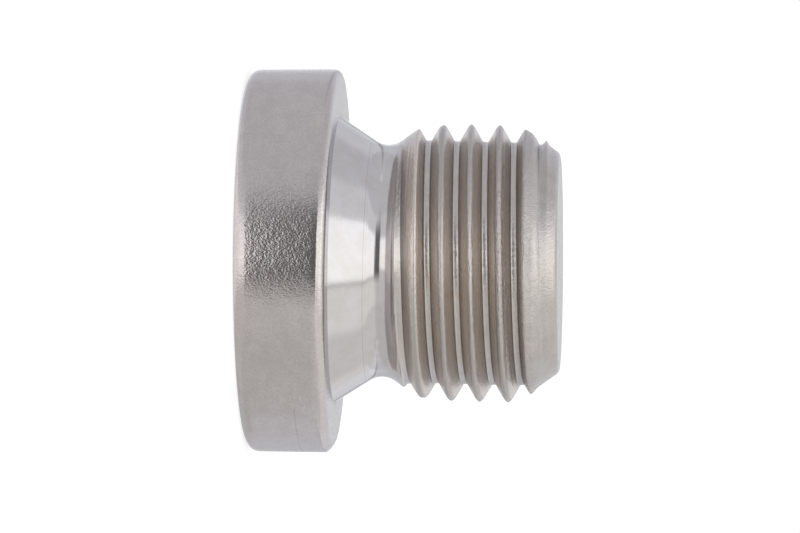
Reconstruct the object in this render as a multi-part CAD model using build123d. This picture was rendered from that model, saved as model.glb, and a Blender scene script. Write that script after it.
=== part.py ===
from build123d import *
import math
import os

# Hex socket plug with collar, M10 x 1. Millimetres.
# The plug stands on its head. Z runs along its axis towards the threaded tip, and the origin
# is the centre of the collar's underside, the face that seals.

# Collar
collar_diameter = 13.55
collar_thickness = 3.24
collar_head_radius = 0.45
collar_seal_chamfer = 0.25

# Thread, single start and right-handed
thread_diameter = 9.77
thread_pitch = 1.0
thread_angle = 60.0
thread_crest_flat = 0.12
thread_root_flat = 0.19
thread_angle_at_seal = 169.2

# Neck turned between the collar and the thread
neck_over_thread = 0.27
neck_cone_angle = 34.8
neck_fillet_radius = 1.0
neck_relief = 0.15
thread_end_cone_angle = 42.8

# Shank and its lead-in at the tip
shank_length = 7.76
tip_cone_depth = 0.99
tip_cone_angle = 33.8
tip_radius = 0.29

# Driving socket, broached in a drilled hole
hex_across_flats = 5.0
hex_depth = 5.0
socket_mouth_margin = 0.12
socket_mouth_angle = 120.0
pilot_under_hex = 0.15
pilot_beyond_hex = 0.35
drill_point_angle = 118.0


def slope(angle):
    """Rise over run of a line at an angle in degrees."""
    return math.tan(math.radians(angle))


# Radii and heights that follow from the sizes above
collar_radius = collar_diameter / 2
thread_depth = (thread_pitch - thread_crest_flat - thread_root_flat) / 2 / slope(thread_angle / 2)
thread_radius = thread_diameter / 2
root_radius = thread_radius - thread_depth
neck_radius = (thread_diameter + neck_over_thread) / 2
waist_radius = root_radius - neck_relief
tip_face_radius = thread_radius - tip_cone_depth
head_z = -collar_thickness
tip_z = shank_length


def gap_along_cone(radius_gap, angle):
    """Axial distance from the middle of the neck's fillet to where its cone meets a radius."""
    over_fillet = neck_fillet_radius / math.cos(math.radians(angle)) - neck_fillet_radius
    return (radius_gap + over_fillet) / slope(angle)


waist_z = gap_along_cone(neck_radius - waist_radius, neck_cone_angle)
thread_start_z = waist_z + gap_along_cone(thread_radius - waist_radius, thread_end_cone_angle)
lead_in_z = tip_z - tip_cone_depth / slope(tip_cone_angle)


def neck_corner():
    """Where the two cones of the neck would meet if no fillet joined them."""
    down = slope(neck_cone_angle)
    up = slope(thread_end_cone_angle)
    z = (neck_radius - thread_radius + up * thread_start_z) / (down + up)
    return neck_radius - down * z, z


def turned(outline):
    """A solid turned from its half section, given as corners (radius, height) with roundings."""
    with BuildPart() as solid:
        with BuildSketch(Plane.XZ):
            with BuildLine():
                FilletPolyline(
                    [corner for corner, rounding in outline],
                    radius=[rounding for corner, rounding in outline],
                    close=True,
                )
            make_face()
        revolve(axis=Axis.Z)
    return solid.part


def blank():
    """The bar turned to its outline: collar, neck, plain shank and lead-in cone."""
    return turned([
        ((0, head_z), 0),
        ((collar_radius, head_z), collar_head_radius),
        ((collar_radius, -collar_seal_chamfer), 0),
        ((collar_radius - collar_seal_chamfer, 0), 0),
        ((neck_radius, 0), 0),
        (neck_corner(), neck_fillet_radius),
        ((thread_radius, thread_start_z), 0),
        ((thread_radius, lead_in_z), 0),
        ((tip_face_radius, tip_z), tip_radius),
        ((0, tip_z), 0),
    ])


def thread_helix():
    """The path of the thread's root, whole turns from the waist of the neck to past the tip."""
    turns = math.ceil((tip_z - waist_z) / thread_pitch + 0.5)
    return Wire([
        Helix(
            pitch=thread_pitch,
            height=thread_pitch,
            radius=root_radius,
            center=(0, 0, waist_z + turn * thread_pitch),
        )
        for turn in range(turns)
    ])


def thread_groove():
    """The V between two crests, swept along the helix and opened a little past the crests."""
    past_crest = thread_crest_flat / 4 / slope(thread_angle / 2)
    outer_radius = thread_radius + past_crest
    root_half = thread_root_flat / 2
    outer_half = root_half + (outer_radius - root_radius) * slope(thread_angle / 2)
    with BuildPart() as groove:
        with BuildSketch(Plane.XZ):
            with BuildLine():
                Polyline(
                    (root_radius, waist_z - root_half),
                    (outer_radius, waist_z - outer_half),
                    (outer_radius, waist_z + outer_half),
                    (root_radius, waist_z + root_half),
                    close=True,
                )
            make_face()
        sweep(path=thread_helix(), is_frenet=True)
    return groove.part.rotate(Axis.Z, thread_angle_at_seal + 360 * waist_z / thread_pitch)


def hexagon():
    """The broached hexagon, open at the head."""
    with BuildPart() as broached:
        with BuildSketch(Plane.XY.offset(head_z)):
            RegularPolygon(hex_across_flats / 2, 6, major_radius=False)
        extrude(amount=hex_depth)
    return broached.part


def pilot_hole():
    """The drilled hole that the hexagon was broached in, with the drill's point."""
    radius = (hex_across_flats - pilot_under_hex) / 2
    wall_end = head_z + hex_depth + pilot_beyond_hex
    point_end = wall_end + radius / slope(drill_point_angle / 2)
    return turned([
        ((0, head_z), 0),
        ((radius, head_z), 0),
        ((radius, wall_end), 0),
        ((0, point_end), 0),
    ])


def socket_mouth():
    """The chamfer that clears the hexagon's corners at the head."""
    hexagon_corner = hex_across_flats / 2 / math.cos(math.radians(30))
    radius = hexagon_corner + socket_mouth_margin
    return turned([
        ((0, head_z), 0),
        ((radius, head_z), 0),
        ((0, head_z + radius / slope(socket_mouth_angle / 2)), 0),
    ])


plug = blank() - thread_groove() - hexagon() - pilot_hole() - socket_mouth()
plug.label = "plug"

os.makedirs("parts", exist_ok=True)
export_step(plug, "parts/plug.step")
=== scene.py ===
import math

import bmesh
import bpy
import numpy as np
from mathutils import Matrix, Vector


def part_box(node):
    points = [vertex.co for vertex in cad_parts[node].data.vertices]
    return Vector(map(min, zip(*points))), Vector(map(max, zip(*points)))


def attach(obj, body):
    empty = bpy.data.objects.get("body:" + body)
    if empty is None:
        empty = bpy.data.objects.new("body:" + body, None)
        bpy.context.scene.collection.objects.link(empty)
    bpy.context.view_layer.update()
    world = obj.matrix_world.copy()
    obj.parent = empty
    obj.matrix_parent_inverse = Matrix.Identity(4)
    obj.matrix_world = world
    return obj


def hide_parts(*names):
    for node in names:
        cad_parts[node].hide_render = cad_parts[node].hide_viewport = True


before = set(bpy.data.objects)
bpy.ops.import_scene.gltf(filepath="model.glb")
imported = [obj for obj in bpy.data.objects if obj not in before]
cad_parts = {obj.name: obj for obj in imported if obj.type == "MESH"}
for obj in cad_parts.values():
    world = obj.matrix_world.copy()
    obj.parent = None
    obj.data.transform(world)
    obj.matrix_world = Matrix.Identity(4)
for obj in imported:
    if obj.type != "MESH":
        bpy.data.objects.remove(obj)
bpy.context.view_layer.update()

# The turned body, in millimetres until the mesh is made.
# The plug is turned from one stainless bar: a collar with a rounded head edge, a neck cone with a
# fillet, a short shank and a lead-in cone at the tip.
collar_radius = 6.768
collar_taper = 0.02
collar_low = -3.24
head_edge_radius = 0.45
seal_height = -0.081
neck_radius = 4.988
neck_slope = math.tan(math.radians(33.15))
neck_fillet_radius = 0.8
waist_radius = 4.101
rise_slope = math.tan(math.radians(35.1))
shank_radius = 4.908
start_cut = 0.12
start_cut_low = 2.5
start_cut_high = 4.42
tip_height = 7.76
tip_corner_radius = 3.846
tip_slope = math.tan(math.radians(35.56))
tip_rounding = 0.287
columns = 288
angles = np.linspace(0.0, 2.0 * math.pi, columns + 1)


def smooth_min(a, b, blend):
    """The lesser of two radii, rounded where they cross."""
    near = np.clip(0.5 + 0.5 * (b - a) / blend, 0.0, 1.0)
    return b * (1.0 - near) + a * near - blend * near * (1.0 - near)


def smooth_step(low, high, value):
    """Runs from 0 to 1 as a value runs from low to high."""
    share = np.clip((value - low) / (high - low), 0.0, 1.0)
    return share * share * (3.0 - 2.0 * share)


def arc(centre_radius, centre_height, radius, start, end, steps):
    """Points of a rounded edge, from one tilt of its normal to another, in degrees."""
    tilts = np.radians(np.linspace(start, end, steps))
    return [(centre_radius + radius * math.cos(t), centre_height + radius * math.sin(t)) for t in tilts]


neck_tilt = math.atan(neck_slope)
rise_tilt = math.atan(rise_slope)
fillet_centre_radius = waist_radius + neck_fillet_radius
fillet_start = (neck_radius - waist_radius
                + neck_fillet_radius / math.cos(neck_tilt) - neck_fillet_radius) / neck_slope
neck_end = fillet_start - neck_fillet_radius * math.sin(neck_tilt)
rise_start = fillet_start + neck_fillet_radius * math.sin(rise_tilt)
rise_start_radius = fillet_centre_radius - neck_fillet_radius * math.cos(rise_tilt)


def neck_and_shank(z):
    """Radius of the turned blank from the collar's underside to the lead-in cone."""
    cone = neck_radius - neck_slope * z
    across = np.clip(z - fillet_start, -neck_fillet_radius, neck_fillet_radius)
    fillet = fillet_centre_radius - np.sqrt(neck_fillet_radius ** 2 - across ** 2)
    rise = rise_start_radius + rise_slope * (z - rise_start)
    neck = np.where(z < neck_end, cone, np.where(z < rise_start, fillet, rise))
    shank = shank_radius - start_cut * (1.0 - smooth_step(start_cut_low, start_cut_high, z))
    return np.where(z < fillet_start, neck, smooth_min(neck, shank, 0.1))


# The neck and the thread lean a little against the head and the tip, as on the real plug.
lean = 0.021
lean_centre = 2.18
lean_arm = 3.85
seal_lean = 0.0172
square_from = 7.3
square_to = 7.62
tip_shift = 0.036


def true_height(angle, z):
    """Height over the collar of a point at a height along the leaning shank."""
    return z - lean * lean_arm * np.cos(angle) * (1.0 - smooth_step(square_from, square_to, z))


def lean_shift(angle, z):
    """How far the lean moves the shank's surface outwards."""
    return lean * (z - lean_centre) * np.cos(angle)


def burr(angle, z, at, height, lip, along, round_it):
    """A lip of metal pushed up along the thread."""
    off = (angle - at + math.pi) % (2.0 * math.pi) - math.pi
    return lip * np.exp(-((z - height - off / (2.0 * math.pi)) / along) ** 2 - (off / round_it) ** 2)


def blank_radius(angle, z):
    """Radius of the blank, whose lead-in cone is square to the head again."""
    tip = tip_corner_radius + tip_slope * (tip_height - true_height(angle, z)) + tip_shift * np.cos(angle)
    tip = tip + burr(angle, z, at=0.0, height=6.78, lip=0.11, along=0.2, round_it=0.5)
    return smooth_min(neck_and_shank(z) + lean_shift(angle, z), tip, 0.08)


# The thread.
# M10 x 1, right-hand, cut with one V tool whose nose leaves a narrow flat root. Tumbling has rounded
# the crests and left small dings along them.
pitch = 1.0
root_radius = 4.291
root_half_flat = 0.104
root_hollow = 0.014
root_raised_at_start = 0.07
root_lowered_at_tip = 0.06
ding_count = 520
flank_slope = 1.0 / math.tan(math.radians(30.0))
groove_phase = 3.536
thread_low = 1.9
thread_high = 7.45
half_rows = [0.05, 0.08, 0.096, 0.115, 0.15, 0.2, 0.25, 0.3, 0.345, 0.38, 0.408, 0.432, 0.454, 0.477]


def groove_radius(from_centre, z):
    """Radius of the groove's hollow floor and its flanks, shallow at its start and deeper at the tip."""
    rise = flank_slope * (np.abs(from_centre) - root_half_flat)
    floor = root_radius - root_lowered_at_tip * smooth_step(6.2, 7.1, z)
    floor = floor + root_raised_at_start * (1.0 - smooth_step(2.2, 2.9, z)) - root_hollow
    floor = floor + root_hollow * np.minimum(np.abs(from_centre) / root_half_flat, 1.5) ** 2
    return floor + 0.5 * (rise + np.sqrt(rise * rise + 0.0003))


def threaded_radius(angle, z):
    """The blank's radius with the helical groove taken out of it."""
    turns = z - groove_phase - angle / (2.0 * math.pi)
    from_centre = (turns - np.round(turns)) * pitch
    groove = groove_radius(from_centre, z) + lean_shift(angle, z)
    cut = smooth_min(blank_radius(angle, z), groove, 0.15)
    return cut + burr(angle, z, at=math.pi, height=7.16, lip=0.13, along=0.1, round_it=0.45)


def crest_dings(angle, z):
    """Small random dents along the crests."""
    rng = np.random.default_rng(7)
    depth = np.zeros_like(angle)
    for _ in range(ding_count):
        turn = 5.0 if rng.random() < 0.3 else rng.uniform(2.6, 7.2)
        at = rng.uniform(0.0, 2.0 * math.pi)
        height = round(turn) - 0.5 + groove_phase % 1.0 + at / (2.0 * math.pi) + rng.normal(0.0, 0.04)
        along = rng.uniform(0.05, 0.16)
        across = rng.uniform(0.03, 0.07)
        dent = rng.uniform(0.006, 0.03)
        if rng.random() < 0.25:
            along = rng.uniform(0.3, 1.2)
            across = rng.uniform(0.08, 0.12)
        arc_from = np.abs((angle - at + math.pi) % (2.0 * math.pi) - math.pi) * shank_radius
        depth = np.maximum(depth, dent * np.exp(-(arc_from / along) ** 2 - ((z - height) / across) ** 2))
    return depth


def ring(radius, z):
    """One ring round the shank at a height along it."""
    z = np.broadcast_to(z, angles.shape)
    return np.stack([radius * np.cos(angles), radius * np.sin(angles), true_height(angles, z)], axis=-1)


def collar_ring(radius, z):
    """One ring of the collar, whose underside leans with the shank and whose head does not."""
    radius = np.broadcast_to(radius, angles.shape)
    x = radius * np.cos(angles)
    share = smooth_step(-2.6, -0.4, np.broadcast_to(z, angles.shape))
    shift = lean * (seal_height - lean_centre) * smooth_step(collar_radius - 0.2, neck_radius, radius)
    return np.stack([x + shift, radius * np.sin(angles), z - seal_lean * x * share], axis=-1)


# The collar's underside, its edges, its side and its head.
plain_heights = [*np.linspace(seal_height, neck_end, 11), *np.linspace(neck_end, thread_low, 18)[1:]]
shank_plain = [ring(blank_radius(angles, z), z) for z in plain_heights]

offsets = sorted([0.0, 0.5] + half_rows + [-h for h in half_rows])
thread_rows = []
for turn in range(int(thread_low) - 4, int(thread_high) + 3):
    for offset in offsets:
        level = groove_phase % 1.0 + turn + offset * pitch
        z = np.clip(level + angles / (2.0 * math.pi) * pitch, thread_low, thread_high)
        radius = threaded_radius(angles, z)
        radius = radius - crest_dings(angles, z)
        thread_rows.append(ring(radius, z))

tip_rows = []
tip_tilt = math.atan(tip_slope)
corner_height = tip_height - tip_rounding
corner_centre = tip_corner_radius + tip_slope * tip_rounding - tip_rounding / math.cos(tip_tilt)
corner_points = arc(corner_centre, corner_height, tip_rounding, math.degrees(tip_tilt), 90.0, 12)
for z in np.linspace(thread_high, corner_points[0][1], 6)[:-1]:
    tip_rows.append(ring(blank_radius(angles, z), z))
for radius, z in corner_points + [(radius, tip_height) for radius in (3.0, 2.2, 1.4, 0.6, 0.0)]:
    tip_rows.append(ring(radius + tip_shift * min(radius / 3.0, 1.0) * np.cos(angles), z))

# The edge at the underside is round on one side of the plug and nearly a chamfer on the other.
edge_high = 0.303 - 0.024 * np.cos(angles)
edge_deep = 0.303 + 0.014 * np.cos(angles)
edge_power = 2.0 / (1.3 + 1.28 * (0.5 - 0.5 * np.cos(angles)) ** 2)
under_rows = []
for share in (0.2, 0.4, 0.6, 0.8):
    radius = neck_radius + (collar_radius - edge_deep - neck_radius) * share
    under_rows.append(collar_ring(radius, seal_height))
for tilt in np.radians(np.linspace(90.0, 0.0, 13)):
    radius = collar_radius - edge_deep * (1.0 - max(math.cos(tilt), 0.0) ** edge_power)
    z = seal_height - edge_high * (1.0 - math.sin(tilt) ** edge_power)
    under_rows.append(collar_ring(radius, z))
head_edge_height = collar_low + head_edge_radius
for share in np.linspace(0.0, 1.0, 12)[1:-1]:
    z = (seal_height - edge_high) * (1.0 - share) + head_edge_height * share
    under_rows.append(collar_ring(collar_radius - collar_taper * share ** 2, z))
for radius, z in arc(collar_radius - collar_taper - head_edge_radius, head_edge_height,
                     head_edge_radius, 0.0, -90.0, 16):
    under_rows.append(collar_ring(radius, z))

# The socket.
# A 5 mm hexagon, broached in a drilled hole with a countersunk mouth.
hexagon_half = 2.5
hexagon_depth = 5.0
mouth_margin = 0.12
mouth_radius = hexagon_half / math.cos(math.radians(30.0)) + mouth_margin
mouth_slope = math.tan(math.radians(60.0))
pilot_radius = 2.425
pilot_depth = 5.35
pilot_end = collar_low + pilot_depth
hexagon_end = collar_low + hexagon_depth
point_slope = math.tan(math.radians(59.0))
point_end = pilot_end + pilot_radius / point_slope
from_flat = (angles % math.radians(60.0)) - math.radians(30.0)
hexagon_radius = hexagon_half / np.cos(from_flat)
mouth_height = collar_low + (mouth_radius - hexagon_radius) / mouth_slope


def loose_ring(radius, z):
    """A ring whose radius and height change round the axis."""
    radius = np.broadcast_to(radius, angles.shape)
    z = np.broadcast_to(z, angles.shape)
    return np.stack([radius * np.cos(angles), radius * np.sin(angles), z], axis=-1)


for radius in (5.4, 4.6, 3.8, 3.3):
    under_rows.append(loose_ring(radius, collar_low))
under_rows.append(loose_ring(mouth_radius, collar_low))
under_rows.append(loose_ring(hexagon_radius, mouth_height))
for share in (0.1, 0.3, 0.5, 0.7, 0.9, 1.0):
    under_rows.append(loose_ring(hexagon_radius, mouth_height + (hexagon_end - mouth_height) * share))
under_rows.append(loose_ring(pilot_radius, hexagon_end))
under_rows.append(loose_ring(pilot_radius, pilot_end))
for share in (0.25, 0.5, 0.75, 1.0):
    z = pilot_end + (point_end - pilot_end) * share
    under_rows.append(loose_ring(pilot_radius * (1.0 - share), z))


def strip(mesh, rings, flip):
    """Joins each ring to the next one with faces."""
    points = [[mesh.verts.new(p * 0.001) for p in one] for one in rings]
    for low, high in zip(points, points[1:]):
        for j in range(columns):
            corners = (low[j], low[j + 1], high[j + 1], high[j])
            mesh.faces.new(corners[::-1] if flip else corners)


body = bmesh.new()
strip(body, shank_plain, False)
strip(body, thread_rows, False)
strip(body, tip_rows, False)
strip(body, [shank_plain[0]] + under_rows, True)
bmesh.ops.remove_doubles(body, verts=body.verts, dist=1e-7)
bmesh.ops.dissolve_degenerate(body, edges=body.edges, dist=1e-8)
bmesh.ops.recalc_face_normals(body, faces=body.faces)
plug_mesh = bpy.data.meshes.new("socket_plug")
body.to_mesh(plug_mesh)
body.free()
plug_mesh.polygons.foreach_set("use_smooth", [True] * len(plug_mesh.polygons))
plug_mesh.set_sharp_from_angle(angle=math.radians(40.0))
plug = bpy.data.objects.new("socket_plug", plug_mesh)
bpy.context.scene.collection.objects.link(plug)
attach(plug, "root")
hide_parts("plug")


# The steel.
# Bare stainless, turned and then barrel-tumbled: satin with small dents on the collar and the tip,
# burnished on the neck; the flanks' lighter brownish colour is a painted reflection of light bouncing
# there.
class Socket:
    """A shader socket that takes part in Python sums."""

    def __init__(self, tree, out=None):
        self.tree = tree
        self.out = out

    def node(self, kind, settings=None, inputs=None, output=0):
        """A new node, with its settings and inputs, as the socket of one output."""
        node = self.tree.nodes.new(kind)
        for name, value in (settings or {}).items():
            setattr(node, name, value)
        for name, value in (inputs or {}).items():
            if isinstance(value, Socket):
                self.tree.links.new(value.out, node.inputs[name])
            else:
                node.inputs[name].default_value = value
        return Socket(self.tree, node.outputs[output]) if node.outputs else node

    def sum(self, operation, *values):
        """A maths node of these values."""
        return self.node("ShaderNodeMath", {"operation": operation}, dict(enumerate(values)))

    def __add__(self, other):
        return self.sum("ADD", self, other)

    def __sub__(self, other):
        return self.sum("SUBTRACT", self, other)

    def __rsub__(self, other):
        return self.sum("SUBTRACT", other, self)

    def __mul__(self, other):
        return self.sum("MULTIPLY", self, other)

    __radd__ = __add__
    __rmul__ = __mul__

    def between(self, low, high, start=0.0, end=1.0):
        """Runs from start to end as the value runs from low to high, smoothly."""
        return self.node("ShaderNodeMapRange", {"interpolation_type": "SMOOTHSTEP"},
                         {"Value": self, "From Min": low, "From Max": high,
                          "To Min": start, "To Max": end})


def noise(point, stretch, scale, detail=2.0, rough=0.5):
    """Soft noise in millimetres, stretched along an axis by a small factor there."""
    moved = point.node("ShaderNodeVectorMath", {"operation": "MULTIPLY"}, {0: point, 1: stretch})
    return point.node("ShaderNodeTexNoise", {}, {"Vector": moved, "Scale": scale, "Detail": detail,
                                                 "Roughness": rough})


def band(value, low, high, edge):
    """One between two levels and nothing outside them, with soft edges."""
    return value.between(low - edge, low + edge) * value.between(high - edge, high + edge, 1.0, 0.0)


steel = bpy.data.materials.new("stainless_steel")
steel.use_nodes = True
steel.node_tree.nodes.clear()
kit = Socket(steel.node_tree)
place_in = kit.node("ShaderNodeTexCoord", output="Object")
point = kit.node("ShaderNodeVectorMath", {"operation": "SCALE"}, {0: place_in, "Scale": 1000.0})
split = kit.tree.nodes.new("ShaderNodeSeparateXYZ")
kit.tree.links.new(point.out, split.inputs[0])
along_x, along_y, height = (Socket(kit.tree, out) for out in split.outputs)
along_shank = height + along_x * lean
along_x = along_x - (height - lean_centre) * lean
away = kit.sum("SQRT", along_x * along_x + along_y * along_y)


def mix(share, first, second):
    """A colour between two colours."""
    return share.node("ShaderNodeMix", {"data_type": "RGBA"}, {0: share, 6: first, 7: second}, 2)


is_shank = (along_shank - along_x * (lean - seal_lean)).between(-0.14, -0.1) * away.between(5.3, 5.1)
is_thread = height.between(2.0, 2.6)
is_tip = height.between(6.2, 6.6)
in_groove = away.between(4.82, 4.72) * is_thread * (1.0 - is_tip)
flank = in_groove * away.between(4.3, 4.34)
crest = (1.0 - in_groove) * is_thread * height.between(7.0, 6.8)
rough_crest = crest * height.between(5.25, 5.35)

# Fine grain from tumbling, softer dents, and turning marks round the axis.
grain = noise(point, (1.5, 1.5, 1.0), 13.0, 2.0, 0.5)
dents = noise(point, (1.0, 1.0, 1.2), 5.0, 2.0, 0.5)
turning = noise(point, (0.03, 0.03, 1.0), 24.0, 3.0, 0.6)
radial = kit.node("ShaderNodeCombineXYZ", {}, {0: away, 1: is_tip * 3.0, 2: height * 0.02})
tool_lines = noise(radial, (1.0, 1.0, 1.0), 14.0, 2.0, 0.6)
worn = 0.65 - is_shank * 0.6 + is_thread * 0.9 + crest * 0.8 + rough_crest * 1.5 + is_tip * 0.3
bump_height = (grain * 0.8 + dents * 0.5) * worn + turning * is_shank * 0.1 + tool_lines * flank * 1.2
bump = kit.node("ShaderNodeBump", {}, {"Strength": 1.0, "Distance": 0.000015, "Height": bump_height})
roughness = 0.12 + is_thread * 0.12 - is_tip * 0.06

# Grey with a little brown, cleaner on the neck, with a lighter warm painted reflection down in the
# flanks.
mottle = noise(point, (1.0, 1.0, 1.0), 1.6, 4.0, 0.65).between(0.3, 0.7)
specks = noise(point, (1.0, 1.0, 1.0), 16.0, 3.0, 0.7).between(0.3, 0.7)
collar_colour = mix(mottle, (0.49, 0.455, 0.443, 1.0), (0.54, 0.503, 0.49, 1.0))
thread_colour = mix(mottle, (0.485, 0.448, 0.412, 1.0), (0.525, 0.492, 0.468, 1.0))
neck_colour = mix(mottle, (0.52, 0.495, 0.482, 1.0), (0.55, 0.535, 0.53, 1.0))
colour = mix(is_shank, collar_colour, neck_colour)
colour = mix(is_thread, colour, thread_colour)
tip_colour = mix(mottle, (0.42, 0.392, 0.368, 1.0), (0.455, 0.432, 0.412, 1.0))
colour = mix(is_tip, colour, tip_colour)
# Painted reflection: the flanks get a lighter, warmer colour in place of light bouncing between them.
colour = mix(flank, colour, (0.65, 0.588, 0.532, 1.0))
colour = mix(crest * height.between(6.6, 6.4), colour, (0.425, 0.394, 0.369, 1.0))
dirt = (1.0 - specks) * 0.4 * (1.0 - is_shank * (1.0 - is_thread) * 0.8)
colour = mix(dirt, colour, (0.36, 0.32, 0.3, 1.0))
# A hairline round the neck, a scratch on the collar and a spot of rust in the thread.
hairline = band(along_shank, 1.06, 1.08, 0.012) + band(along_shank, 1.15, 1.16, 0.012) * 0.4
scratch = band(height, -1.28, -1.26, 0.015) * along_x.between(5.0, 5.3) * along_y.between(-0.4, -0.8)
rust_at = (1.24, -4.2, 4.45)
from_rust = kit.node("ShaderNodeVectorMath", {"operation": "DISTANCE"}, {0: point, 1: rust_at}, 1)
colour = mix(hairline * 0.3 + scratch * 0.45, colour, (0.2, 0.17, 0.15, 1.0))
colour = mix(from_rust.between(0.28, 0.02) * 0.3, colour, (0.5, 0.3, 0.16, 1.0))
surface = kit.node("ShaderNodeBsdfPrincipled", {}, {
    "Base Color": colour, "Metallic": 1.0, "Roughness": roughness,
    "Specular Tint": (0.74, 0.75, 0.78, 1.0), "Normal": bump})
kit.node("ShaderNodeOutputMaterial", {}, {"Surface": surface})
plug_mesh.materials.append(steel)

# The floor and the light.
# A plain white table inside a tent of white cloth, which is lit brighter in a band across either
# side of the plug and is darker round the camera.
table_half = 6.0
table_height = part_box("plug")[0].z
floor_mesh = bpy.data.meshes.new("floor")
floor_shape = bmesh.new()
bmesh.ops.create_grid(floor_shape, x_segments=4, y_segments=4, size=table_half)
bmesh.ops.translate(floor_shape, verts=floor_shape.verts, vec=(0.0, 0.0, table_height))
floor_shape.to_mesh(floor_mesh)
floor_shape.free()
floor = bpy.data.objects.new("floor", floor_mesh)
bpy.context.scene.collection.objects.link(floor)
floor.visible_glossy = False
paint = bpy.data.materials.new("floor_paint")
paint.use_nodes = True
paint.node_tree.nodes.clear()
kit = Socket(paint.node_tree)
seen = kit.node("ShaderNodeLightPath", output="Is Camera Ray")
matt = kit.node("ShaderNodeBsdfDiffuse", {}, {"Color": (0.85, 0.85, 0.85, 1.0)})
glow = kit.node("ShaderNodeEmission", {}, {"Color": (1.0, 1.0, 1.0, 1.0), "Strength": 1.18})
both = kit.node("ShaderNodeMixShader", {}, {0: seen * 0.65, 1: matt, 2: glow})
kit.node("ShaderNodeOutputMaterial", {}, {"Surface": both})
floor_mesh.materials.append(paint)

tent_distance = 0.2
tent_half_length = 2.4
tent_steps = 32
gap_low = -9.5
gap_high = 15.3
gap_level = 0.25
tent_shape = bmesh.new()
tent_rows = []
stations = np.linspace(-tent_half_length, tent_half_length, tent_steps + 1)
for angle in np.radians(np.arange(-180.0, 180.0, 5.0)):
    spot = (-tent_distance * math.cos(angle), tent_distance * math.sin(angle))
    tent_rows.append([tent_shape.verts.new((x, *spot)) for x in stations])
for low, high in zip(tent_rows, tent_rows[1:] + tent_rows[:1]):
    for j in range(tent_steps):
        tent_shape.faces.new((low[j], low[j + 1], high[j + 1], high[j]))
tent_mesh = bpy.data.meshes.new("light_tent")
tent_shape.to_mesh(tent_mesh)
tent_shape.free()
tent = bpy.data.objects.new("light_tent", tent_mesh)
bpy.context.scene.collection.objects.link(tent)
tent.visible_camera = False
tent.visible_shadow = False

cloth = bpy.data.materials.new("light_tent")
cloth.use_nodes = True
cloth.node_tree.nodes.clear()
kit = Socket(cloth.node_tree)
spot = kit.node("ShaderNodeTexCoord", output="Object")
split = kit.tree.nodes.new("ShaderNodeSeparateXYZ")
kit.tree.links.new(spot.out, split.inputs[0])
tent_x, tent_y, tent_z = (Socket(kit.tree, out) for out in split.outputs)
# Degrees round from straight before the plug towards its tip, and how far up the photo.
round_angle = kit.sum("ARCTAN2", tent_z, 0.0 - tent_y) * (180.0 / math.pi)
up_share = tent_x * (-1.0 / tent_distance)
on_right = round_angle.between(0.0, 20.0)
on_side = 1.0 - band(round_angle, -7.5, -2.5, 1.5)
band_low = on_right * -0.14 - 0.13
band_high = on_right * 0.05 + 0.4
level_right = 2.05 + band(round_angle, 69.5, 78.0, 1.5) * 0.6 - round_angle.between(80.0, 100.0) * 0.6
level_left = 1.5 + round_angle.between(-150.0, -100.0) * 0.2 + round_angle.between(-80.0, -40.0) * 0.3
level = level_left + on_right * (level_right - level_left)
over_foot = (up_share - band_low).between(-0.03, 0.03)
in_band = over_foot * (up_share - band_high).between(-0.03, 0.03, 1.0, 0.0)
shoulder_up = band(up_share, 0.42, 0.95, 0.06) * (0.18 + on_right * 0.07) * on_side
shoulder_down = band(up_share, -0.95, -0.13, 0.06) * (0.1 + on_right * 0.33) * on_side
shoulder_deep = band(up_share, -6.0, -0.95, 0.06) * on_right * 0.18
ambient = 1.0 + shoulder_up + shoulder_down + shoulder_deep
radiance = ambient + in_band * (level - ambient)
near_gap = band(round_angle, -7.5, -2.5, 1.5) * up_share.between(0.5, 1.9, 0.34, 0.0)
radiance = radiance * (1.0 - near_gap * up_share.between(0.38, 0.46))
in_gap = band(round_angle, gap_low, gap_high, 1.5) * up_share.between(-0.42, -0.18)
in_gap = in_gap * up_share.between(0.38, 0.95, 1.0, 0.0)
radiance = radiance + in_gap * (gap_level - radiance)
# A dark edge along the foot of the bright panel.
foot = band(up_share - band_low, -0.05, -0.005, 0.015) * band(round_angle, -12.0, 75.0, 3.0)
radiance = radiance * (1.0 - foot * 0.4)
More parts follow.
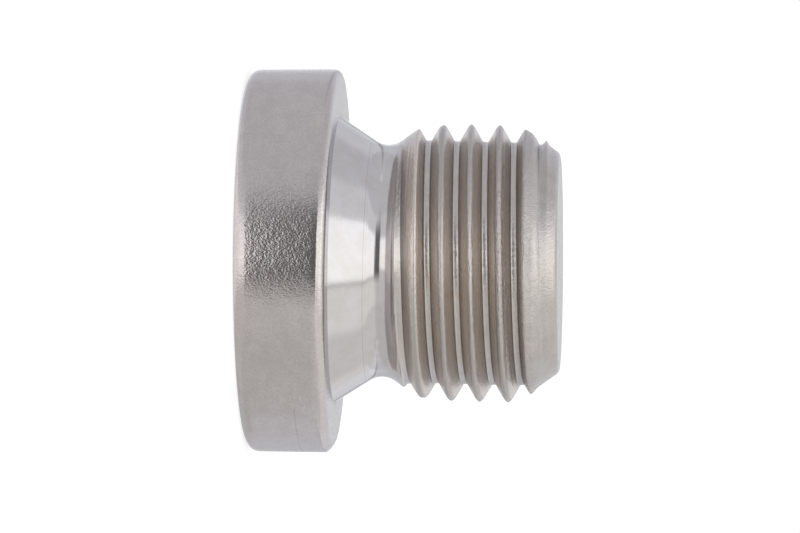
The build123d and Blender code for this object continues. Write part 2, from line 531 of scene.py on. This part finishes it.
# Behind the plug it is dimmer where the flat faces look, and cooler over and under them.
behind = kit.sum("ABSOLUTE", round_angle).between(150.0, 170.0)
straight_behind = round_angle.between(173.8, 174.8) * round_angle.between(177.0, 178.0, 0.5, 0.16)
radiance = radiance * (1.0 - straight_behind)
over_and_under = up_share.between(-0.3, -0.8) * 0.19 + up_share.between(0.3, 0.8) * 0.07
radiance = radiance * (1.0 + behind * over_and_under)
cool = up_share.between(-0.1, 0.6) + behind * up_share.between(-0.3, -0.8)
tint = mix(cool, (1.0, 1.0, 1.0, 1.0), (0.98, 0.995, 1.05, 1.0))
glow = kit.node("ShaderNodeVectorMath", {"operation": "SCALE"}, {0: tint, "Scale": radiance * 0.8})
light = kit.node("ShaderNodeEmission", {}, {"Color": glow, "Strength": 1.0})
kit.node("ShaderNodeOutputMaterial", {}, {"Surface": light})
tent_mesh.materials.append(cloth)

world = bpy.data.worlds.new("studio")
bpy.context.scene.world = world
world.use_nodes = True
world.node_tree.nodes.clear()
kit = Socket(world.node_tree)
sky = kit.node("ShaderNodeBackground", {}, {"Color": (1.0, 1.0, 1.0, 1.0), "Strength": 1.0})
kit.node("ShaderNodeOutputWorld", {}, {"Surface": sky})

# The camera, where the photograph was taken from.
# It looks square on to the plug's side from 187 mm, turned so that the tip points to the right.
photo_width = 800.0
photo_height = 533.0
origin_px = (340.51, 260.804)
px_per_mm = 28.3
focal_px = 5283.0
yaw = 0.06
roll = 0.00481
right = Vector((-math.sin(roll), math.sin(yaw) * math.cos(roll), math.cos(yaw) * math.cos(roll)))
up = Vector((-math.cos(roll), -math.sin(yaw) * math.sin(roll), -math.cos(yaw) * math.sin(roll)))
back = Vector((0.0, -math.cos(yaw), math.sin(yaw)))
spot = (right * ((photo_width / 2.0 - origin_px[0]) / px_per_mm)
        - up * ((photo_height / 2.0 - origin_px[1]) / px_per_mm)
        + back * (focal_px / px_per_mm))
lens = bpy.data.cameras.new("camera")
lens.sensor_width = 36.0
lens.lens = focal_px / photo_width * lens.sensor_width
lens.clip_start = 0.005
camera = bpy.data.objects.new("camera", lens)
camera.matrix_world = Matrix((right, up, back)).transposed().to_4x4()
camera.location = spot * 0.001
bpy.context.scene.collection.objects.link(camera)
bpy.context.scene.camera = camera
bpy.context.scene.view_settings.view_transform = "Standard"
